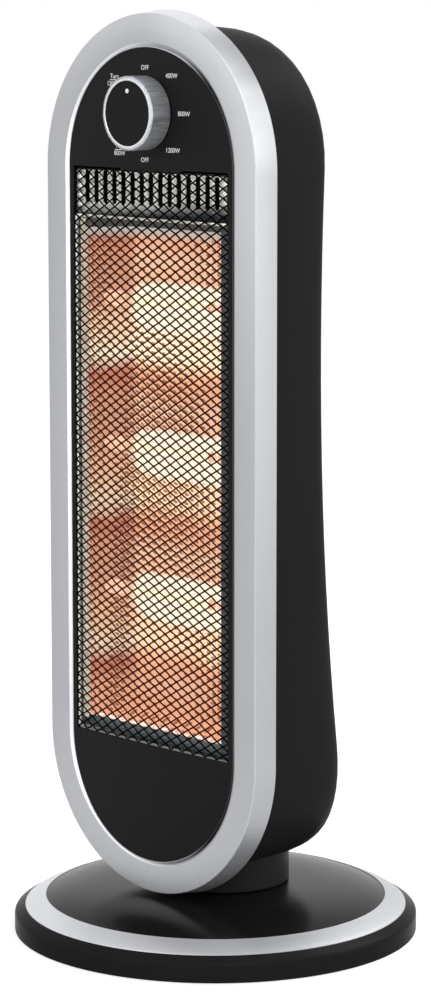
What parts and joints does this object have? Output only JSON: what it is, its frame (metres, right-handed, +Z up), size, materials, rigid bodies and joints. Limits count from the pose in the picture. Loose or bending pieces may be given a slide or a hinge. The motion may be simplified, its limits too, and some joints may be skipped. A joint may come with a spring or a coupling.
{
  "type": "halogen heater",
  "caption": "Tall oval halogen heater with a mesh guard, quartz lamps in a reflector and a control knob, its head swinging on a low round weighted base with a tip-over switch.",
  "frame": {"origin": "on the floor, under the middle of the round base", "axes": "+Z up; the heater's front faces -Y; +X is to the right as seen from the front"},
  "size_m": [0.28, 0.28, 0.6325],
  "materials": {
    "black_shell": "glossy black moulding",
    "black_panel": "fine matt black",
    "silver_trim": "satin silver paint",
    "black_mesh": "satin black",
    "polished_sheet": "polished",
    "zinc_sheet": "zinc-plated, dull",
    "screw_steel": "zinc-plated",
    "iron_weight": "rough",
    "cover_sheet": "matt dark grey moulding",
    "foot_rubber": "matt",
    "gear_plastic": "natural, smooth",
    "motor_can": "yellow zinc-plated",
    "ceramic": "unglazed, off-white",
    "quartz": "clear",
    "filament": "glowing coil",
    "switch_black": "moulded",
    "cutout_brown": "moulded",
    "plunger_red": "moulded",
    "pointer_white": "filled print"
  },
  "bodies": {
    "base": {"base_shell": "black_shell", "base_trim_ring": "silver_trim", "bottom_cover": "cover_sheet", "rubber_feet": "foot_rubber", "base_screws": "screw_steel", "counterweight": "iron_weight", "weight_screws": "screw_steel", "swing_motor": "motor_can", "motor_screws": "screw_steel", "swivel_washer": "gear_plastic", "cord_grommet": "foot_rubber", "cord_clamp": "switch_black", "clamp_screws": "screw_steel", "terminal_block": "ceramic", "tip_bracket": "gear_plastic", "tip_switch": "switch_black", "tip_screws": "screw_steel", "tip_spring": "screw_steel"},
    "tip_button": {"tip_plunger": "plunger_red"},
    "pinion": {"motor_shaft": "screw_steel", "drive_pinion": "gear_plastic"},
    "head": {"neck": "black_shell", "neck_screws": "screw_steel", "swing_gear": "gear_plastic", "gear_retainer": "screw_steel", "retainer_screws": "screw_steel", "rear_housing": "black_shell", "housing_screws": "screw_steel", "front_cover": "black_panel", "front_ring": "silver_trim", "mesh_guard": "black_mesh", "reflector": "polished_sheet", "vent_plate": "polished_sheet", "reflector_screws": "screw_steel", "heat_shield": "zinc_sheet", "lamp_brackets": "zinc_sheet", "lamp_caps": "ceramic", "quartz_tubes": "quartz", "filaments": "filament", "thermal_cutout": "cutout_brown", "rotary_switch": "switch_black", "switch_nut": "screw_steel"},
    "knob": {"switch_shaft": "screw_steel", "knob_skirt": "silver_trim", "knob_face": "black_panel", "knob_pointer": "pointer_white"}
  },
  "joints": [
    {"name": "head_swing", "type": "hinge", "parent": "base", "child": "head", "pos_m": [0, 0.008, 0.03], "axis": [0, 0, 1], "range_deg": [-35, 35]},
    {"name": "pinion_spin", "type": "hinge", "parent": "base", "child": "pinion", "pos_m": [0, 0.062, 0.024], "axis": [0, 0, 1], "range_deg": [-180, 180]},
    {"name": "knob_turn", "type": "hinge", "parent": "head", "child": "knob", "pos_m": [0, -0.07, 0.565], "axis": [0, 1, 0], "continuous": true},
    {"name": "tip_drop", "type": "slide", "parent": "base", "child": "tip_button", "axis": [0, 0, -1], "range_m": [0, 0.005], "stiffness_N_per_m": 60, "springref_m": 0.008, "deforming": ["tip_spring"]}
  ],
  "couplings": [
    {"joint": "pinion_spin", "follows": "head_swing", "ratio": -5}
  ]
}
